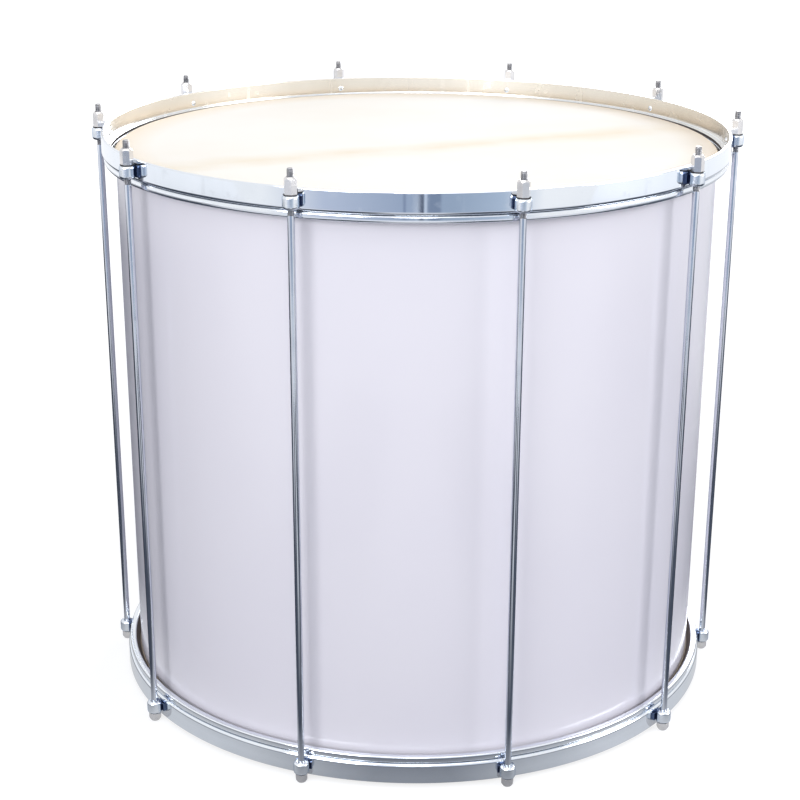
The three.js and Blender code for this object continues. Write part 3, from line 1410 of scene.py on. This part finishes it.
# ---------------------------------------------------------------- the studio


@dataclass(frozen=True)
class Card:
    """An upright strip in the room that the bright metal reflects."""

    bearing: float
    width: float
    colour: Colour
    softness: float = 0.12


@dataclass(frozen=True)
class SoftBox:
    """A square lamp, by its name, its place, the side of its face and its power in watts."""

    name: str
    place: Place
    size: float
    power: float

    def hang(self, aim: Vector) -> None:
        """Hangs the lamp.

        Args:
            aim: What it points at.
        """
        data = bpy.data.lights.new(self.name, "AREA")
        data.shape = "SQUARE"
        data.size = self.size
        data.energy = self.power
        lamp = bpy.data.objects.new(self.name, data)
        bpy.context.scene.collection.objects.link(lamp)
        lamp.location = self.place
        lamp.rotation_mode = "QUATERNION"
        lamp.rotation_quaternion = (aim - Vector(self.place)).to_track_quat("-Z", "Y")


@dataclass
class Studio:
    """The pale floor, the soft lights and the camera of the photograph."""

    focal_pixels: float = 1818.4
    frame_pixels: float = 800.0
    sensor_width: float = 36.0
    pitch_degrees: float = 21.258
    yaw_degrees: float = 0.085
    roll_degrees: float = 0.397
    distance: float = 1.7053
    height: float = 0.8446
    middle_x: float = 417.0
    middle_y: float = 480.0
    view_limit: float = 50.0
    floor_front: float = -1.3
    floor_back: float = 9.0
    floor_side: float = 9.0
    floor_drop: float = 0.0005
    floor_glow: float = 0.78
    floor_colour: Colour = (0.25, 0.255, 0.27)
    mirrored_floor_colour: Colour = (0.05, 0.06, 0.08)
    fill_colour: Colour = (0.6, 0.61, 0.64)
    dim_fill_colour: Colour = (0.2, 0.21, 0.24)
    far_floor_colour: Colour = (0.82, 0.85, 0.9)
    white: Colour = (1.0, 1.0, 1.0)
    wall_degrees: float = 70.0
    walls: tuple[tuple[float, Colour], ...] = (
        (-55.0, (1.0, 1.0, 1.0)),
        (-32.0, (0.52, 0.58, 0.71)),
        (-5.0, (0.36, 0.43, 0.56)),
        (12.0, (0.34, 0.42, 0.54)),
        (30.0, (0.46, 0.55, 0.68)),
        (45.0, (1.0, 1.0, 1.0)),
    )
    cards: tuple[Card, ...] = (
        Card(-4.0, 0.9, (0.24, 0.3, 0.42)),
        Card(6.2, 4.6, (0.22, 0.28, 0.39), 0.3),
        Card(0.3, 1.2, (0.6, 0.67, 0.79)),
        Card(3.2, 1.0, (0.6, 0.67, 0.79)),
        Card(1.8, 1.5, (0.03, 0.045, 0.09)),
    )
    lamp_aim: Place = (0.0, 0.0, 0.3)
    lamps: tuple[SoftBox, ...] = (
        SoftBox("overhead_box", (-0.3, -0.9, 2.6), 2.4, 17.5),
        SoftBox("left_box", (-1.6, -2.6, 1.4), 1.6, 45.0),
        SoftBox("right_box", (3.0, -0.7, 1.4), 1.6, 54.0),
        SoftBox("back_box", (1.0, 2.9, 1.5), 1.6, 50.0),
        SoftBox("front_box", (0.0, -1.3, 0.95), 0.3, 1.3),
    )

    def add_camera(self) -> None:
        """Sets the camera where the photograph was taken from."""
        data = bpy.data.cameras.new("photo_camera")
        data.sensor_width = self.sensor_width
        data.lens = self.focal_pixels / self.frame_pixels * data.sensor_width
        data.shift_x = (self.frame_pixels / 2 - self.middle_x) / self.frame_pixels
        data.shift_y = (self.middle_y - self.frame_pixels / 2) / self.frame_pixels
        data.clip_end = self.view_limit
        camera = bpy.data.objects.new("photo_camera", data)
        bpy.context.scene.collection.objects.link(camera)
        pitch, yaw, roll = (math.radians(v) for v in (self.pitch_degrees, self.yaw_degrees, self.roll_degrees))
        ahead = Vector((math.sin(yaw) * math.cos(pitch), math.cos(yaw) * math.cos(pitch), -math.sin(pitch)))
        level = Vector((math.cos(yaw), -math.sin(yaw), 0.0))
        upward = level.cross(ahead)
        right = math.cos(roll) * level + math.sin(roll) * upward
        top = -math.sin(roll) * level + math.cos(roll) * upward
        turn = Matrix((right, top, -ahead)).transposed().to_4x4()
        camera.matrix_world = Matrix.Translation((0, -self.distance, self.height)) @ turn
        bpy.context.scene.camera = camera

    def mirrored_zones(self, sheet: MaterialSheet, reach: Socket) -> Socket:
        """Marks where the floor looks lit in the bright metal.

        Args:
            sheet: The floor's sheet.
            reach: How far a place lies from the drum's axis.

        Returns:
            The mask: beside the drum, far away, in front between two dark flags, and behind on one side.
        """
        across, along = sheet.axes(sheet.place)[0:2]
        aside = sheet.work("ABSOLUTE", across)
        near = sheet.spread(reach, 0.31, 0.4, 1.0, 0.0)
        beside = sheet.work("MULTIPLY", near, sheet.spread(aside, 0.04, 0.2, 0.28, 0.75))
        far = sheet.spread(reach, 1.9, 2.6)
        ahead = sheet.spread(along, -0.8, -0.42, 0.8, 0.0)
        flags = sheet.work("MULTIPLY", sheet.spread(aside, 0.14, 0.22), sheet.spread(aside, 0.5, 0.62, 1.0, 0.0))
        between = sheet.work("MULTIPLY", ahead, sheet.work("SUBTRACT", 1.0, flags))
        one_side = sheet.spread(across, -0.4, -0.15)
        behind = sheet.work("MULTIPLY", sheet.spread(along, 0.3, 0.8, 0.0, 0.6), one_side)
        lit = beside
        for zone in (far, between, behind):
            lit = sheet.work("MAXIMUM", lit, zone)
        return lit

    def floor_material(self) -> Material:
        """A floor that looks white from the camera, takes a soft shadow, and is dark in the metal but for its zones.

        Returns:
            The finished material.
        """
        sheet = MaterialSheet("white_floor")
        seen, glossy = sheet.rays()
        paper = sheet.blend(glossy, self.floor_colour, self.mirrored_floor_colour)
        shader = sheet.shade({"Roughness": 0.9, "Specular IOR Level": 0.1, "Base Color": paper})
        reach = sheet.reach(sheet.place)
        mirrored = sheet.work("MULTIPLY", glossy, self.mirrored_zones(sheet, reach))
        level = sheet.spread(reach, 0.8, 3.0, self.floor_glow, 1.0)
        strength = sheet.work("MULTIPLY", sheet.work("MAXIMUM", seen, mirrored), level)
        glow = sheet.add("ShaderNodeEmission", {"Color": self.white, "Strength": strength})
        both = sheet.add("ShaderNodeAddShader", {0: shader.outputs["BSDF"], 1: glow.outputs["Emission"]})
        sheet.feed(sheet.tree.nodes["Material Output"].inputs["Surface"], both.outputs["Shader"])
        return sheet.material

    def add_floor(self) -> None:
        """Lays a white floor that keeps the drum's soft shadow."""
        size = (2 * self.floor_side, self.floor_back - self.floor_front, 1)
        middle = (0, (self.floor_back + self.floor_front) / 2, -self.floor_drop)
        floor = primitive(bpy.ops.mesh.primitive_plane_add, "studio_floor", size=1.0, location=middle)
        floor.scale = size
        settle(floor)
        dress(floor, self.floor_material())

    def add_world(self) -> None:
        """Surrounds the drum with a bright room that is darker round the photographer."""
        world = bpy.data.worlds.new("studio_room")
        bpy.context.scene.world = world
        world.use_nodes = True
        sheet = NodeSheet(world.node_tree)
        ways = sheet.axes(sheet.add("ShaderNodeTexCoord").outputs["Generated"])
        turn = sheet.work("ARCTAN2", ways["X"], sheet.work("MULTIPLY", ways["Y"], -1.0))
        bearing = sheet.work("MULTIPLY", turn, 180.0 / math.pi)
        colour = self.room_colour(sheet, bearing)
        colour = sheet.blend(sheet.spread(ways["Z"], 0.12, 0.4), colour, self.white)
        colour = sheet.blend(sheet.spread(ways["Z"], -0.24, -0.3), colour, self.far_floor_colour)
        seen, glossy = sheet.rays()
        fill = sheet.blend(sheet.spread(bearing, -85.0, -60.0, 1.0, 0.0), self.fill_colour, self.dim_fill_colour)
        colour = sheet.blend(seen, sheet.blend(glossy, fill, colour), self.white)
        base = world.node_tree.nodes["Background"]
        sheet.feed(base.inputs["Color"], colour)
        sheet.feed(base.inputs["Strength"], 1.0)

    def room_colour(self, sheet: NodeSheet, bearing: Socket) -> Socket:
        """Colours the walls of the room and its cards by their bearing from the photographer.

        Args:
            sheet: The world's sheet.
            bearing: Degrees to the photographer's side, seen from the drum.

        Returns:
            The colour of the walls.
        """
        reach = self.wall_degrees
        ramp = sheet.add("ShaderNodeValToRGB", {"Fac": sheet.spread(bearing, -reach, reach)})
        points = ramp.color_ramp.elements
        for degrees, colour in self.walls:
            spot = (degrees + reach) / (2 * reach)
            point = points[0] if degrees == self.walls[0][0] else points.new(spot)
            point.position, point.color = spot, (*colour, 1.0)
        points.remove(points[-1])
        wall = ramp.outputs["Color"]
        for card in self.cards:
            off = sheet.work("ABSOLUTE", sheet.work("SUBTRACT", bearing, card.bearing))
            inside, outside = card.width / 2 - card.softness, card.width / 2 + card.softness
            wall = sheet.blend(sheet.spread(off, inside, outside, 1.0, 0.0), wall, card.colour)
        return wall

    def set_up(self) -> None:
        """Builds the whole studio."""
        bpy.context.scene.view_settings.view_transform = "Standard"
        self.add_camera()
        self.add_floor()
        self.add_world()
        for lamp in self.lamps:
            lamp.hang(Vector(self.lamp_aim))


def main() -> None:
    """Builds the studio and the drum, sub-assembly by sub-assembly."""
    logging.basicConfig(level=logging.INFO, format="%(name)s: %(message)s")
    Studio().set_up()
    layout = Layout()
    materials = make_materials()
    for assembly in (Shell, Head, FleshHoop, Counterhoop, Ears, Rods, Nuts):
        assembly(layout).assemble(materials)


if __name__ == "__main__":
    main()
